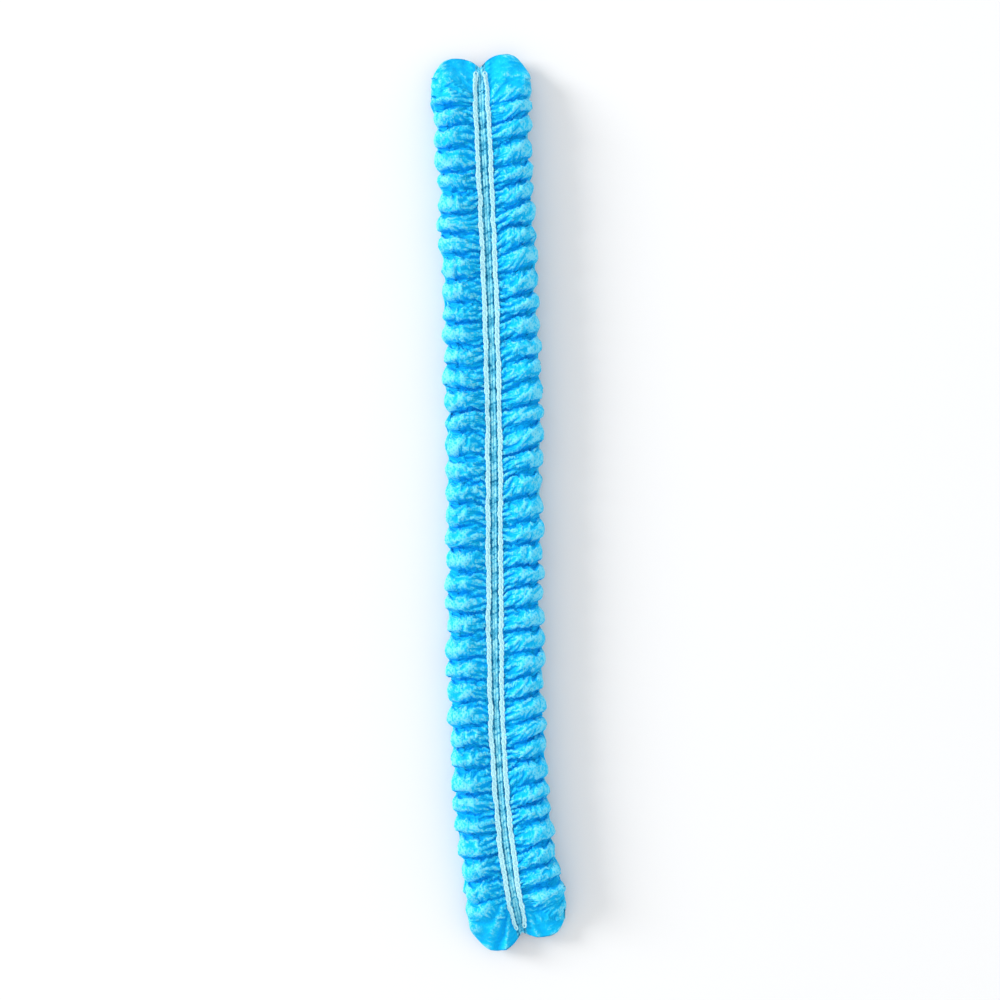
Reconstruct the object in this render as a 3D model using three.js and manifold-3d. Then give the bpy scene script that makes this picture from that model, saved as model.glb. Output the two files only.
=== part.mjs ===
// A disposable mob cap in the form in which it is packed and lies on a table: one sheet of blue
// nonwoven cloth, pleated lengthwise into a narrow strip and drawn up into ribs by two elastics.
//
// Seen from above, the strip runs along Y and its face looks up (+Z). The two rims of the sheet meet
// in the middle of the face, with one elastic cord on each: they are the cap's mouth, which pulls
// apart at the slit between them. From each rim the sheet runs out to the side, folds back in and
// out again, and crosses the back. At both ends the sheets close together into a flat, two-lobed tab.
//
// Millimetres. The origin is the middle of the underside of the strip's box.
import * as THREE from "three";
import { mergeVertices } from "three/addons/utils/BufferGeometryUtils.js";
import Module from "manifold-3d";

// The whole strip
const LENGTH = 210;
const TIP = LENGTH / 2;

// The ribs that the elastics draw the cloth into. Every sheet follows them.
const RIB_COUNT = 36;
const GATHERED_LENGTH = 186;
const RIB_PITCH = GATHERED_LENGTH / RIB_COUNT;
const RIB_HEIGHT = 3.6;
const RIB_FOOT = 1.2; // the flat on which each valley rests, along the strip
const RIB_SLANT = 0.13; // how far the right-hand ribs rise towards +Y, per millimetre outwards
const SCALLOP = 0.9; // how much further out the folds reach at a crest than in a valley

// The pleated sheets, counted from the back (0) to the face
const SHEETS = 4;
const FACE = SHEETS - 1;
const WALL = 1.2;
const SHEET_PITCH = 1.9;
const FOLD_DEPTH = 1.0; // how far a fold's nose stands out from the flat of its sheets
const INNER_FOLD = 4.0; // from the middle to the folds inside the strip

// The rims, half from the middle
const RIM_EDGE = 0.4;
const RIM_END = 2.3;
const RIB_START = 4.2; // the ribs have their full height from here outwards
const RIM_DROP = 0.5; // the rims lie this far below the middle height of the ribs
const RIM_RIPPLE = 0.8; // what is left of the ribs' height there

// The elastics
const CORD_DIAMETER = 0.9;
const CORD_OFFSET = 1.45; // from the slit to the middle of each cord
const CORD_SIDES = 6;
const CORD_STEPS = 24;
const CORD_TO_TIP = 2.6;
const SEAT_GAP = 0.3;

// How the strip lies: the drift of its middle line sideways, along its length
const LIE = [
  { along: -105, drift: 7.2 },
  { along: -82, drift: 2.9 },
  { along: -50, drift: 0.7 },
  { along: 0, drift: 0 },
  { along: 52, drift: -1.0 },
  { along: 105, drift: -3.4 },
];

// How it closes towards a tip: half its width, how full its ribs are (1 is full), how far apart its
// sheets are (1 is SHEET_PITCH), and how far its middle height has sagged
const CLOSING = [
  { fromTip: 0, halfWidth: 9.6, ribs: 0, spacing: 0.79, sag: 1.7 },
  { fromTip: 4, halfWidth: 11.4, ribs: 0, spacing: 0.79, sag: 1.3 },
  { fromTip: 8, halfWidth: 11.8, ribs: 0.25, spacing: 0.82, sag: 0.7 },
  { fromTip: 13, halfWidth: 11.4, ribs: 0.7, spacing: 0.95, sag: 0.15 },
  { fromTip: 20, halfWidth: 11.0, ribs: 1, spacing: 1, sag: 0 },
  { fromTip: 105, halfWidth: 11.0, ribs: 1, spacing: 1, sag: 0 },
];

// The tab in which the sheets are closed together, ring by ring towards the tip
const TAB = [
  { fromTip: 7, thickness: 4.9 },
  { fromTip: 5, thickness: 6.1 },
  { fromTip: 2.5, thickness: 4.2 },
  { fromTip: 0, thickness: 2.0 },
];
const TAB_INSET = 0.4; // keeps the tab's root inside the sheets that it closes
const NOTCH = 2.6; // depth of the notch between the tab's lobes
const TAB_OUTLINE = [
  // across: share of the half width; full: share of the thickness; back: how far short of the tip
  { across: 1, full: 0.1, back: 3.2 },
  { across: 0.86, full: 0.8, back: 1.0 },
  { across: 0.5, full: 1, back: 0 },
  { across: 0.14, full: 0.9, back: 1.2 },
  { across: 0, full: 0.8, back: NOTCH },
];
const SHEETS_END = 5; // the separate sheets reach this near the tip, inside the tab

const CLOTH_BLUE = 0x1b9df0;
const ELASTIC_WHITE = 0xe6f1f2;

// One column of a table as a smooth function of another
function curveThrough(rows, from, to) {
  const at = rows.map((row) => row[from]);
  const values = rows.map((row) => row[to]);
  const interpolant = new THREE.CubicInterpolant(at, values, 1, [0]);
  return (t) => interpolant.evaluate(THREE.MathUtils.clamp(t, at[0], at.at(-1)))[0];
}

// The same with straight stretches between the rows
function lineThrough(rows, from, to) {
  const at = rows.map((row) => row[from]);
  const values = rows.map((row) => row[to]);
  const interpolant = new THREE.LinearInterpolant(at, values, 1, [0]);
  return (t) => interpolant.evaluate(THREE.MathUtils.clamp(t, at[0], at.at(-1)))[0];
}

const driftAt = curveThrough(LIE, "along", "drift");
const closing = {
  halfWidth: lineThrough(CLOSING, "fromTip", "halfWidth"),
  ribs: lineThrough(CLOSING, "fromTip", "ribs"),
  spacing: lineThrough(CLOSING, "fromTip", "spacing"),
  sag: lineThrough(CLOSING, "fromTip", "sag"),
};
const MIDDLE_HEIGHT = (WALL + (SHEETS - 1) * SHEET_PITCH + RIB_HEIGHT) / 2;

// What the strip is like at one place along it
function stationAt(along) {
  const fromTip = TIP - Math.abs(along);
  return {
    along,
    halfWidth: closing.halfWidth(fromTip),
    ribs: closing.ribs(fromTip),
    pitch: SHEET_PITCH * closing.spacing(fromTip),
    middle: MIDDLE_HEIGHT - closing.sag(fromTip),
  };
}

// A point of the strip in space, from its distance out from the middle line and its height
function place(station, out, height) {
  const step = 1;
  const slope = (driftAt(station.along + step) - driftAt(station.along - step)) / (2 * step);
  const across = new THREE.Vector3(1, -slope, 0).normalize();
  const slant = RIB_SLANT * station.ribs * Math.max(0, out);
  const middle = new THREE.Vector3(driftAt(station.along), station.along + slant, height);
  return middle.addScaledVector(across, out);
}

// Height of a sheet's middle. wave is 0 in a valley and 1 on a crest; sheet may lie between two.
function sheetHeight(station, sheet, out, wave) {
  const stacked = station.middle + (sheet - FACE / 2) * station.pitch;
  const ribbed = RIB_HEIGHT * station.ribs * (wave - 0.5);
  const rippled = RIM_RIPPLE * station.ribs * (wave - 0.5) - RIM_DROP;
  const onRim = THREE.MathUtils.clamp((RIB_START - out) / (RIB_START - RIM_END), 0, 1);
  return stacked + THREE.MathUtils.lerp(ribbed, rippled, sheet === FACE ? onRim : 0);
}

// The outline of the pleated sheets at one place, as points that run round the whole section
function sheetRing(station, wave) {
  const [over, level, under] = [WALL / 2, 0, -WALL / 2];
  const nose = station.halfWidth - SCALLOP * station.ribs * (1 - wave);
  const bend = nose - FOLD_DEPTH;
  const hollow = nose - WALL;
  const outer = [];
  const inner = [];
  outer.push([RIM_EDGE, FACE, over], [RIM_END, FACE, over], [RIB_START, FACE, over]);
  inner.push([RIM_EDGE, FACE, under], [RIM_END, FACE, under], [RIB_START, FACE, under]);
  for (let upper = FACE; upper > 0; upper -= 2) {
    outer.push([bend, upper, over], [nose, upper - 0.5, level], [bend, upper - 1, under]);
    inner.push([hollow, upper, under], [hollow, upper - 1, over]);
    if (upper > 1) {
      outer.push([INNER_FOLD + WALL, upper - 1.5, level]);
      inner.push([INNER_FOLD, upper - 1, over], [INNER_FOLD, upper - 2, under]);
    }
  }
  const spot = (side) => ([out, sheet, up]) => {
    const height = sheetHeight(station, sheet, out, wave) + up;
    return place(station, side * out, height);
  };
  return [
    ...outer.map(spot(1)),
    ...outer.toReversed().map(spot(-1)),
    ...inner.map(spot(-1)),
    ...inner.toReversed().map(spot(1)),
  ];
}

// A closed solid through rings of equal length that run along +Y, clockwise as seen from -Y
function loft(rings) {
  const count = rings[0].length;
  const index = [];
  for (let r = 0; r + 1 < rings.length; r++) {
    for (let i = 0; i < count; i++) {
      const [a, b] = [r * count + i, r * count + ((i + 1) % count)];
      index.push(a, b, a + count, b, b + count, a + count);
    }
  }
  for (const [ring, start, facesBack] of [
    [rings[0], 0, true],
    [rings.at(-1), (rings.length - 1) * count, false],
  ]) {
    const flat = ring.map((p) => new THREE.Vector2(p.x, p.z));
    for (const [a, b, c] of THREE.ShapeUtils.triangulateShape(flat, [])) {
      index.push(...(facesBack ? [a, b, c] : [a, c, b]).map((i) => start + i));
    }
  }
  const geometry = new THREE.BufferGeometry().setFromPoints(rings.flat());
  geometry.setIndex(index);
  return geometry;
}

// Where the outline is taken: inside both tabs, on each crest, and at both ends of each valley's foot
function stations() {
  const places = [{ along: SHEETS_END - TIP, wave: 0.5 }];
  for (let rib = 0; rib < RIB_COUNT; rib++) {
    const valley = (rib - RIB_COUNT / 2) * RIB_PITCH;
    if (rib > 0) {
      places.push({ along: valley - RIB_FOOT / 2, wave: 0 }, { along: valley + RIB_FOOT / 2, wave: 0 });
    }
    places.push({ along: valley + RIB_PITCH / 2, wave: 1 });
  }
  places.push({ along: TIP - SHEETS_END, wave: 0.5 });
  return places;
}

// The closed tab at one end: end is 1 at the top of the strip and -1 at the bottom
function tab(end) {
  const rings = TAB.map(({ fromTip, thickness }, ring) => {
    const shape = ring / (TAB.length - 1); // the lobes grow towards the tip
    const half = TAB_OUTLINE.map(({ across, full, back }) => {
      const station = stationAt(end * (TIP - fromTip - back * shape));
      const inset = TAB_INSET * (1 - shape);
      return { station, out: across * (station.halfWidth - inset), up: (full * thickness) / 2 };
    });
    const spot = (side, way) => ({ station, out, up }) => {
      return place({ ...station, ribs: 0 }, side * out, station.middle + way * up);
    };
    const [above, below] = [half.toReversed(), half];
    return [
      ...above.map(spot(1, 1)),
      ...below.map(spot(1, -1)),
      ...above.slice(1).map(spot(-1, -1)),
      ...below.slice(0, -1).map(spot(-1, 1)),
    ];
  });
  return loft(end > 0 ? rings : rings.toReversed());
}

const wasm = await Module();
wasm.setup();

function asSolid(geometry) {
  const merged = mergeVertices(geometry, 1e-4);
  return new wasm.Manifold(
    new wasm.Mesh({
      numProp: 3,
      vertProperties: merged.attributes.position.array,
      triVerts: new Uint32Array(merged.index.array),
    }),
  );
}

function asGeometry(solid) {
  const { vertProperties, triVerts } = solid.getMesh();
  return new THREE.BufferGeometry()
    .setAttribute("position", new THREE.BufferAttribute(vertProperties, 3))
    .setIndex(new THREE.BufferAttribute(triVerts, 1));
}

function clothGeometry() {
  const sheets = loft(stations().map(({ along, wave }) => sheetRing(stationAt(along), wave)));
  return asGeometry(asSolid(sheets).add(asSolid(tab(1))).add(asSolid(tab(-1))));
}

// Height of the highest cloth under a cord at one place
function rimTop(along) {
  const station = stationAt(along);
  const crest = sheetHeight(station, FACE, RIM_EDGE, 1) + WALL / 2;
  const fromTip = TIP - Math.abs(along);
  const tabRows = TAB.toReversed();
  const tabTop = station.middle + lineThrough(tabRows, "fromTip", "thickness")(fromTip) / 2;
  return fromTip > SHEETS_END ? Math.max(crest, tabTop) : tabTop;
}

// One elastic cord. side is 1 for the rim at +X and -1 for the other.
function cordGeometry(side) {
  const points = [];
  for (let step = 0; step <= CORD_STEPS; step++) {
    const along = (TIP - CORD_TO_TIP) * ((2 * step) / CORD_STEPS - 1);
    const station = { ...stationAt(along), ribs: 0 };
    const reach = (TIP - CORD_TO_TIP) / CORD_STEPS; // half a step: the cord clears what lies between
    const top = Math.max(rimTop(along), rimTop(along - reach), rimTop(along + reach));
    points.push(place(station, side * CORD_OFFSET, top + SEAT_GAP + CORD_DIAMETER / 2));
  }
  const path = new THREE.CatmullRomCurve3(points);
  const section = new THREE.Shape().absarc(0, 0, CORD_DIAMETER / 2, 0, 2 * Math.PI);
  return new THREE.ExtrudeGeometry(section, {
    curveSegments: CORD_SIDES / 2, // three.js takes two sides for each
    steps: CORD_STEPS,
    extrudePath: path,
  });
}

function piece(name, geometry, colour, roughness) {
  const material = new THREE.MeshStandardMaterial({ color: colour, roughness, metalness: 0 });
  const mesh = new THREE.Mesh(geometry, material);
  mesh.name = name;
  return mesh;
}

const mobCap = new THREE.Group();
mobCap.add(
  piece("cap_cloth", clothGeometry(), CLOTH_BLUE, 0.75),
  piece("elastic_cord_left", cordGeometry(-1), ELASTIC_WHITE, 0.6),
  piece("elastic_cord_right", cordGeometry(1), ELASTIC_WHITE, 0.6),
);

// The origin goes to the middle of the box's underside
const box = new THREE.Box3().setFromObject(mobCap);
const centre = box.getCenter(new THREE.Vector3());
mobCap.position.set(-centre.x, -centre.y, -box.min.z);

export default mobCap;
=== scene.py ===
"""A disposable mob cap as it is packed: one sheet of blue nonwoven cloth, pleated lengthwise into a
narrow strip, drawn up into ribs by two elastics, and lying face up on a table."""

import math

import bpy
import numpy as np
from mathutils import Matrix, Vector


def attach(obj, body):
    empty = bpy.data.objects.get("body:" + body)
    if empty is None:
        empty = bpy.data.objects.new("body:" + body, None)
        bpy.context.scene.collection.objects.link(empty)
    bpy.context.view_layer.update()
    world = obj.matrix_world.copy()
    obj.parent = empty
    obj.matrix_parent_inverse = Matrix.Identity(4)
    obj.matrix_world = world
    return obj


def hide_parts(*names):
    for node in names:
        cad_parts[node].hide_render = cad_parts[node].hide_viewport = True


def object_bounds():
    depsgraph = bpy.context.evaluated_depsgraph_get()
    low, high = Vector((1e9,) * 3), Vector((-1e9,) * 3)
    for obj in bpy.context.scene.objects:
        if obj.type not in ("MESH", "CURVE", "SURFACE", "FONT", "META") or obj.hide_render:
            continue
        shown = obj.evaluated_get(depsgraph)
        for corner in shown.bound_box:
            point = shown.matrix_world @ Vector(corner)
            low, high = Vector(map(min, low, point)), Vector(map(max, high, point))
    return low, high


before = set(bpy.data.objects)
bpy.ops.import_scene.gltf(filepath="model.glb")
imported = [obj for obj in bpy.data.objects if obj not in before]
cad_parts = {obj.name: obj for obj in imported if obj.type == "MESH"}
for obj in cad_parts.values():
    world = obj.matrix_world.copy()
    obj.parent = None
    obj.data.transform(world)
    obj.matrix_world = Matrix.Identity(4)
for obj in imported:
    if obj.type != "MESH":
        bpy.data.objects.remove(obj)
CAD_BOX = [list(corner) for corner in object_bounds()]

MM = 0.001

# ----------------------------------------
# The strip's driving sizes, in millimetres. They repeat the part's own.

TIP = CAD_BOX[1][1] / MM  # from the middle of the strip to the end of its tabs
TOP = CAD_BOX[1][2] / MM  # the height of its highest ribs
RIB_COUNT = 36
GATHERED_LENGTH = 186.0
RIB_PITCH = GATHERED_LENGTH / RIB_COUNT
CORD_OFFSET = 1.45  # from the slit to each elastic
CORD_RADIUS = 0.36

# How the strip lies: (along, drift of its middle line sideways), and the curve fitted to them
LIE = np.array([(-105, 5.8), (-82, 1.5), (-50, -0.7), (0, -1.4), (52, -2.4), (105, -4.8)])
LIE_DEGREE = 4

# ----------------------------------------
# The cloth, in millimetres too. "Out" is how far a point is from the slit between the rims.

# The pleats
LAYERS = 12  # sheets on top of one another, from the face (0) to the back
LAYER_PITCH = 0.50
FACE_PUFF = 1.5  # the face stands this far above the sheet under it
FACE_BEND = 1.9  # half the width of the face's own outer folds
PLEAT_BEND = 0.45
CLOTH_THICKNESS = 0.12
TOP_CLEAR = 0.3  # between the ribs and the height of the strip, for the crumples
INNER_FOLD = 3.0  # from the middle to the folds inside the strip
FACE_FOLD_UNEVEN = 0.55  # how far the face's outer folds reach in and out
PLEAT_FOLD_UNEVEN = 0.85
FOLD_STEP_IN = 0.2  # every other fold stops this much short

# The ribs
RIB_WIDTH_UNEVEN = 0.15  # as a share of their pitch
RIB_HEIGHT = 2.6
RIB_FULLNESS = 0.93  # the share of that height that they have on average
RIB_FULLNESS_UNEVEN = 0.14
RIB_LINE_UNEVEN = 0.6  # how far a rib's line strays along the strip
SHEET_SHIFT = 1.5  # how much further across the stray is read for each sheet down
VALLEY_PINCH = 0.48  # 0 would be a plain wave, 1 a cusp in each valley
SCALLOP = 0.75  # the sides draw in this far between two ribs
RIGHT_SLANT = 0.17  # how far the right-hand ribs rise along the strip, per millimetre outwards
LEFT_SLANT = 0.02  # and how far the left-hand ones fall
SLANT_CURVE = 1.05  # over 1, the slant grows outwards
RIB_LEAN = 0.5  # how far a crest may lean along the strip
END_DROP = 1.3  # how far the face slopes down to its outer folds

# What the seam holds down
HELD_FLAT = 0.92  # how much of a rib's height it takes
RIM_DROP = 0.90  # the rims lie this far below the middle height of the ribs
HELD_SHEETS = np.array([(0, 1.0), (1, 0.85), (LAYERS - 1, 0.0)])  # (layer, how firmly)

# From where to where, out from the slit, each thing grows to its full size
RIBS_GROW = (1.2, 7.5)
PINCH_GROWS = (0.5, 5.0)
END_DROP_GROWS = (6.0, 12.0)
GATHERS_GROW = (1.8, 2.6)
CRUMPLES_GROW = (2.0, 3.5)
CREASES_GROW = (1.8, 5.0)
SWELLS_GROW = (0.8, 4.0)
FAN_GROWS = (1.5, 4.0)

# Crumples of small facets, creases across the strip, soft swells and fine crinkles
CLOTH_PER_RIB = 9.5
CRUMPLE_SIZE = 1.9  # of a facet, on the cloth
CRUMPLE_HEIGHT = 0.30
BACK_CRUMPLE = 0.8  # of the back and the sheet against it, as a share of the face's
CREASE_HEIGHT = 0.14
CREASE_SLANT = 0.25
SWELL_HEIGHT = 0.20
SWELL_SHIFT = 6.75  # how much further across the swells are read for each pleat down
CRINKLE_HEIGHT = 0.15
CRINKLE_SIZE = 0.95
TAB_CRUMPLE = 0.45  # the share of their height that they have at the tips

# The rims: a narrow rolled hem each, then the elastic, with gathers running out from it
HEM_MIDDLE = 0.30
HEM_HALF_WIDTH = 0.26
HEM_HALF_HEIGHT = 0.30
HEM_TURNS = np.radians(np.linspace(285, 35, 8))  # from under the roll, round its inner edge, to its top
HEM_UNEVEN = 0.35  # how much the roll's height varies
GROOVE = (0.66, 0.86, 1.04)  # columns between the hem's roll and the face
FACE_START = 1.2
CREST_ROUNDNESS = 0.8  # of gathers and puckers
GATHERS_PER_RIB = 2.6
GATHER_HEIGHT = 1.1
GATHER_LEVEL = 0.6  # how much of that height lies below the rib's own surface
GATHER_LINE_UNEVEN = 0.55  # how far a gather strays, in gathers
GATHER_REACH = 3.4  # how far out they run on average
GATHER_REACH_UNEVEN = 1.8
GATHER_FADE = (-1.2, 1.6)  # from where to where about its reach a gather fades away
STITCH_LENGTH = 1.3
STITCH_STAGGER = 0.3  # between the two seams, in stitches
PUCKER_HEIGHT = 0.22
PUCKER_LEVEL = 0.7
PUCKER_ROWS = [(2.1, 0.7, 1.0), (0.8, 0.4, 0.5)]  # (out, width, share of the height)

# How the strip closes towards a tip:
# (from the tip, half width, fullness of the ribs, closeness of the sheets, sag of its middle)
CLOSING_COLUMNS = ("from_tip", "half_width", "fullness", "closeness", "sag")
CLOSING = np.array(
    [
        (0.0, 11.8, 0.02, 0.26, 3.0),
        (4.0, 11.9, 0.15, 0.46, 2.1),
        (8.0, 11.9, 0.45, 0.72, 1.0),
        (13.0, 11.4, 0.85, 0.94, 0.2),
        (19.0, 11.0, 1.00, 1.00, 0.0),
        (106.0, 11.0, 1.00, 1.00, 0.0),
    ]
)
CLOSING_READ = np.linspace(0, 120, 1201)  # the places that its smooth curves are worked out for
CLOSING_BLUR = 14  # how many of them each side smooths over

# The tabs
TAB_RIBS = 2.4  # ribs' worth of cloth in each tab
TAB_REACH = 16.0  # how far the tabs' round ends bend the ribs behind them
TAB_BEND = 1.25  # over 1, they bend the nearest ones the most
NOTCH = 3.0  # between the two lobes of a tab
TAB_HALF_WIDTH = 12.4
CORNER_LENGTH = 6.5  # the round outer corner of a lobe
CORNER_INSET = 5.0
UNDER_TAB = 0.5  # how far the sheets under the face stop short of a tab's edge
UNDER_FACE = (0.5, 1.5)  # the layers between which that begins
# The lobes of the two tabs: (end, side, crown's place out from the slit, crown and corner short of tip)
LOBES = [
    (-1, -1, 5.2, 0.0, 3.2),
    (-1, 1, 6.2, 0.6, 2.4),
    (1, -1, 5.6, 0.5, 2.8),
    (1, 1, 5.0, 0.0, 3.0),
]
LOBE_INWARD = 2.2  # how square a lobe's outline is from its crown to the notch
LOBE_OUTWARD = 2.4  # and to its outer corner

# The folds that fan out through a tab
FAN_CENTRE = 13.0  # from a tip to where they fan out from
FAN_CLEAR = (2.0, 6.0)  # how far from there they grow to their full height
FAN_NEAR = (0.0, 0.35)  # and how near the tip, where 1 is the tip itself
FAN_FOLDS = 4.2  # folds for each radian
FAN_HEIGHT = 1.5
FAN_APART = 56  # how far from the middle of their field each tab's folds are read

# The sheet buckles until it is as long as it was cut
BUCKLE_STEPS = 260
SPARE_ALONG = 1.16  # how much longer the cloth is than its smooth ribs
SPARE_ACROSS = 1.12
LENGTH_AT_SEAM = 0.86  # how long it is beside the seam, as a share of the rest
MOST_BUCKLE = 1.0  # how far a point may move
SEAM_BUCKLE = 0.2  # right beside the seam
SEAM_COLUMNS = 9  # the columns that stay nearer than the most
FREE_START = -0.5  # the columns from a held edge to where the sheet begins to be free
FREE_COLUMNS = 6  # and to where it is quite free
PAST_FOLD = 3  # the columns past the face's outer fold that hold its other edge
LENGTH_COLUMNS = slice(-14, -6)  # beside the outer fold; they set the cloth's length
BUCKLED_FULLNESS = (0.3, 0.9)  # the ribs' fullness between which buckling sets in
STIFF_ALONG = 0.9  # how stiffly points keep their distance, from 0 to 1
STIFF_ACROSS = 0.7
STIFF_SLANTING = 0.12
STIFF_BENDING = 0.3
BENDING_REACH = 3  # points further on that a bend pushes away
LEAST_ALONG = 2.0  # how near they may come, in steps of the grid
LEAST_ACROSS = 2.3
LEAST_STEP = 0.02  # between neighbours along the strip
STEP_BACK = 0.5  # how much of what is missing each of them moves
LIMIT_EVERY = 4  # steps between two limits on how far points have moved

# How closely the sheets are meshed: stations along each rib, and columns across
STEPS_FACE = 24
STEPS_HEM = 12
STEPS_PLEATS = 12
STEPS_BACK = 12
FACE_COLUMNS = 33
FACE_CROWDING = 1.2  # over 1, they crowd towards the rim, where the gathers are fine
PLEAT_COLUMNS = 4
BACK_COLUMNS = 14
FACE_FOLD_COLUMNS = 7
OUTER_FOLD_COLUMNS = 3
INNER_FOLD_COLUMNS = 1
ROUND_FOLD = 2  # the face's sheet goes on this many columns round its fold

# How a point's crest and ridge are measured, for the painted shade in valleys and painted highlights on
# crests and ridges: (stations and columns round it, height that counts as 1)
CREST_SHADING = (STEPS_FACE // 2, 6, 0.9)
RIDGE_SHADING = (4, 2, 0.12)
HEM_CREST_SHADING = (4, 2, 0.2)
HEM_RIDGE_SHADING = (2, 1, 0.06)

# ----------------------------------------
# The elastics and their stitches, in millimetres

CORD_LIFT = 0.05  # between a rim and the elastic on it
CORD_SIDES = 10
CORD_POINTS = 600  # from tip to tip
CORD_SMOOTHING = 12  # points each side
CORD_STRAY = 0.16  # how far it strays from its offset
CORD_SHORT = 1.6  # how far it stops short of the notch
CORD_CLOSING = 10.0  # how far from the tips the elastics start to come together
CORD_CLOSED = 0.5  # the share of their offset that they have at the tips
STITCH_LIFT = 0.22
LOOP_LENGTH = 1.75
LOOP_WIDTH = 0.78
LOOP_POINTS = 12
LOOP_SEED = 5
LOOP_TILT = ((-0.12, -0.16, -0.16), (0.12, -0.02, 0.16))  # least and most, in radians
LOOP_SIZE = ((0.86, 0.8, 0.9), (1.1, 1.18, 1.1))
THREAD_RADIUS = 0.19
THREAD_SIDES = 5

# ----------------------------------------
# The finishes. A tone runs from 0, the first colour of its stops, to 1, the last; lengths are in
# millimetres

BOND_PITCH = 0.9
BOND_TURN = math.radians(45)
BOND_STRETCH = (1.0, 1.3, 1)
BOND_RANDOM = 0.3
BOND_EDGE = (0.14, 0.32)  # of a bond point, as a share of the pitch
FIBRE_RELIEF = 0.16
HOLE_PLACE = 1.62  # from the hem's hidden edge to its needle holes
HOLE_SHAPE = {"at_stitch": 0.5, "apart": -2.6}
HOLE_EDGE = (0.05, 0.4)  # of a needle hole, in its shape's own measure
SPOT_EDGE = (0.54, 0.66)  # of a dark spot, in the noise that it comes from
WRAP_PITCH = 0.32
THREAD_RELIEF = 0.03
PLY_TURNS = 11

# The noise in them: (turn, stretch, scale, detail, roughness, distortion)
NOISES = {
    "clouds": (0.0, (1, 1, 1), 0.32, 3.0, 0.60, 0.0),
    "lengthwise": (0.0, (5.5, 0.9, 1), 1.0, 3.0, 0.65, 0.6),
    "crosswise": (0.5, (0.8, 4.5, 1), 1.0, 3.0, 0.65, 0.6),
    # the mottle is the cloth's uneven tone, and also painted shade and highlights standing in for fine
    # crumples
    "mottle": (0.0, (0.85, 0.55, 1), 1.0, 2.0, 0.55, 0.8),
    "spots": (0.0, (1, 1, 1), 1.15, 1.0, 0.50, 0.0),
    "uneven": (0.0, (3, 2.2, 1), 1.0, 2.0, 0.50, 0.0),
    "fuzz": (0.0, (1, 1, 1), 3500.0, 2.0, 0.60, 0.0),
}
NOISE_SOCKETS = ("Scale", "Detail", "Roughness", "Distortion")

# What the finishes are mixed from, by weight
FIBRES = {"lengthwise": 0.55, "crosswise": 0.45}
# crest and ridge paint shade into the cloth's valleys and highlights onto its crests and small ridges
CLOTH_TONE = {
    "crest": 0.14,
    "ridge": 0.26,
    "clouds": 0.30,
    "mottle": 0.95,
    "fibres": 0.80,
    "bonds": -0.16,
    "even": -0.51,
}
HEM_TONE = {"cloth": 1.0, "holes": -0.45, "spots": -0.40, "even": 0.07}
CLOTH_ROUGHNESS = {"fibres": 0.25, "bonds": -0.14, "even": 0.55}
CLOTH_RELIEF = {"fibres": 1.1, "bonds": -0.30, "clouds": 0.2}
# winding: painted shade between the turns of thread round the elastic, lighter on the turns
ELASTIC_TONE = {"winding": 0.22, "uneven": 0.5, "even": 0.25}
# plies: painted shade between the thread's twisted plies
THREAD_TONE = {"plies": 0.16, "fuzz": 0.7, "even": 0.15}
THREAD_BUMPS = {"plies": 0.6, "fuzz": 0.5}

# The low stops carry the painted shade of valleys, and the pale top stops the painted highlights of
# crests and ridges, besides the cloth's own uneven tone
CLOTH_STOPS = [
    (0.10, (0.000, 0.480, 0.980)),
    (0.38, (0.000, 0.515, 1.000)),
    (0.58, (0.000, 0.550, 1.000)),
    (0.78, (0.025, 0.615, 1.000)),
    (1.00, (0.190, 0.750, 1.000)),
]
HEM_STOPS = [
    (0.10, (0.005, 0.190, 0.400)),
    (0.38, (0.045, 0.430, 0.700)),
    (0.60, (0.120, 0.630, 0.880)),
    (1.00, (0.380, 0.890, 1.000)),
]
ELASTIC_STOPS = [
    (0.00, (0.160, 0.500, 0.660)),
    (0.45, (0.360, 0.740, 0.860)),
    (1.00, (0.660, 0.920, 0.980)),
]
THREAD_STOPS = [
    (0.00, (0.240, 0.660, 0.860)),
    (0.50, (0.480, 0.920, 1.000)),
    (1.00, (0.780, 1.000, 1.000)),
]

# ----------------------------------------
# The studio, in metres and watts

FLOOR_HALF = 2.0
FLOOR_COLOUR = (0.86, 0.87, 0.88)
LIGHTS = [  # (name, place, size, power)
    ("key", (-2.0, 0.7, 0.92), 1.0, 40),
    ("fill", (1.6, -0.6, 1.4), 1.6, 0.8),
]
SKY_STRENGTH = 0.88
CAMERA_LENS = 85  # the lens's focal length in millimetres
VIEW_MARGIN = 1.11  # half of what the camera sees, over half of the strip's length


# ----------------------------------------
# Small tools


NOISE_SIZE = 256  # values each way, before a field of noise repeats
TINY = 1e-6  # keeps divisions by nothing from failing


class SmoothNoise:
    """Smooth random values between -1 and 1.

    often: how many there are for each unit along and across; start: the place in the field that
    counts as 0, 0; apart: how far each side of the strip is read from there."""

    def __init__(self, seed, often, start=(0, 0), apart=0):
        self.grid = np.random.default_rng(seed).uniform(-1, 1, (NOISE_SIZE, NOISE_SIZE))
        self.often = often
        self.start = start
        self.apart = apart

    def at(self, column, row):
        return self.grid[column % NOISE_SIZE, row % NOISE_SIZE]

    def __call__(self, along, across, side=0):
        u = along * self.often[0] + self.start[0]
        v = across * self.often[1] + self.start[1] + side * self.apart
        u, v = np.broadcast_arrays(np.asarray(u, float), np.asarray(v, float))
        column, row = np.floor(u).astype(int), np.floor(v).astype(int)
        s, t = u - column, v - row
        s, t = s * s * (3 - 2 * s), t * t * (3 - 2 * t)
        low = self.at(column, row) * (1 - s) + self.at(column + 1, row) * s
        high = self.at(column, row + 1) * (1 - s) + self.at(column + 1, row + 1) * s
        return low * (1 - t) + high * t


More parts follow.
